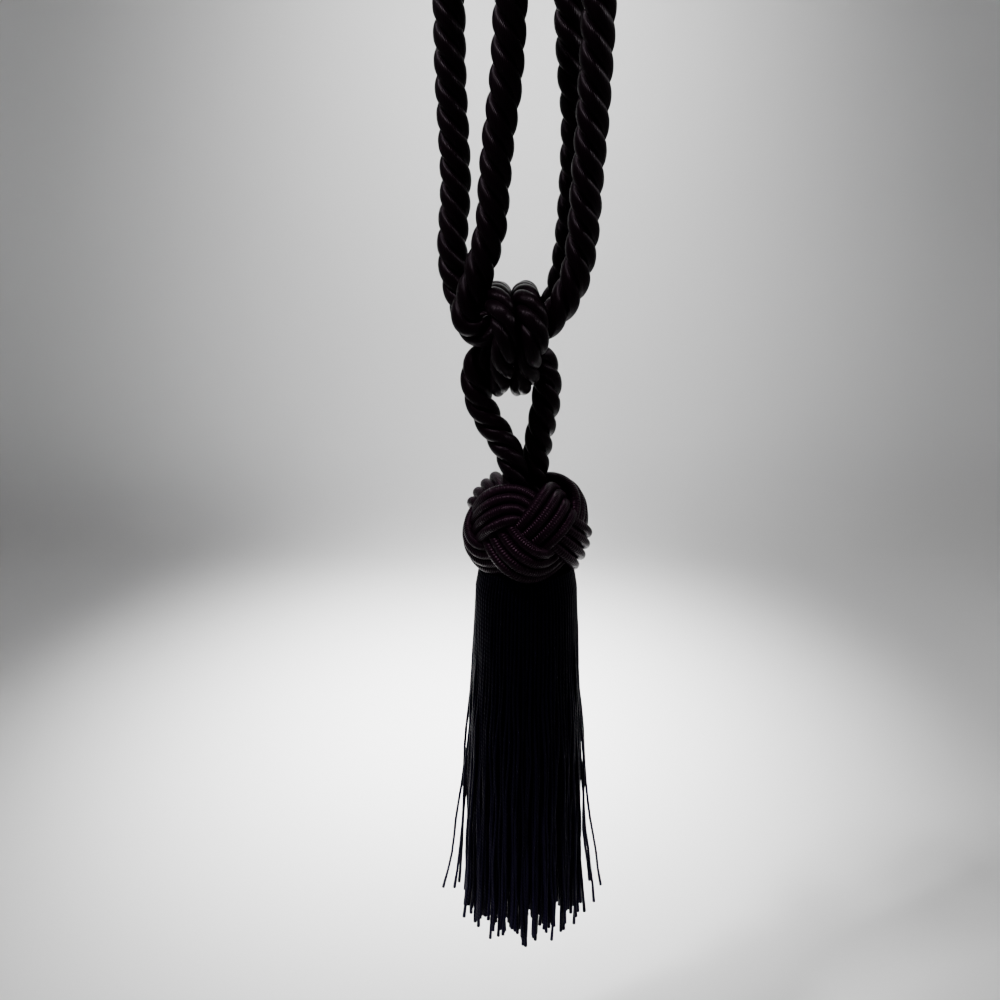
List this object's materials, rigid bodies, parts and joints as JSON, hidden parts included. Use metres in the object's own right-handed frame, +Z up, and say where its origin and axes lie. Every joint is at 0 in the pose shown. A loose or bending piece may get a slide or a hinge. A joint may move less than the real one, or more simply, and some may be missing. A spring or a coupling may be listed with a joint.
{
  "type": "curtain tieback with tassel",
  "caption": "Twisted-rope curtain tieback hanging in its own shape, with a woven ball and a long cut-cord tassel below a rope-bound hanger loop.",
  "frame": {"origin": "on the tassel's own axis, level with the inner top of the two eyes, where the hook bears", "axes": "+Z up along the tassel's axis, +X to the right, -Y to the front"},
  "size_m": [0.0854, 0.0697, 0.4556],
  "materials": {
    "rope": "satin viscose yarn",
    "gimp_cord": "satin viscose wrapping",
    "fringe_cord": "soft sheen"
  },
  "bodies": {
    "root": {"embrace_rope": "rope", "hanger_loop": "rope", "rope_binding": "rope", "turks_head": "gimp_cord", "skirt": "fringe_cord"}
  },
  "joints": []
}
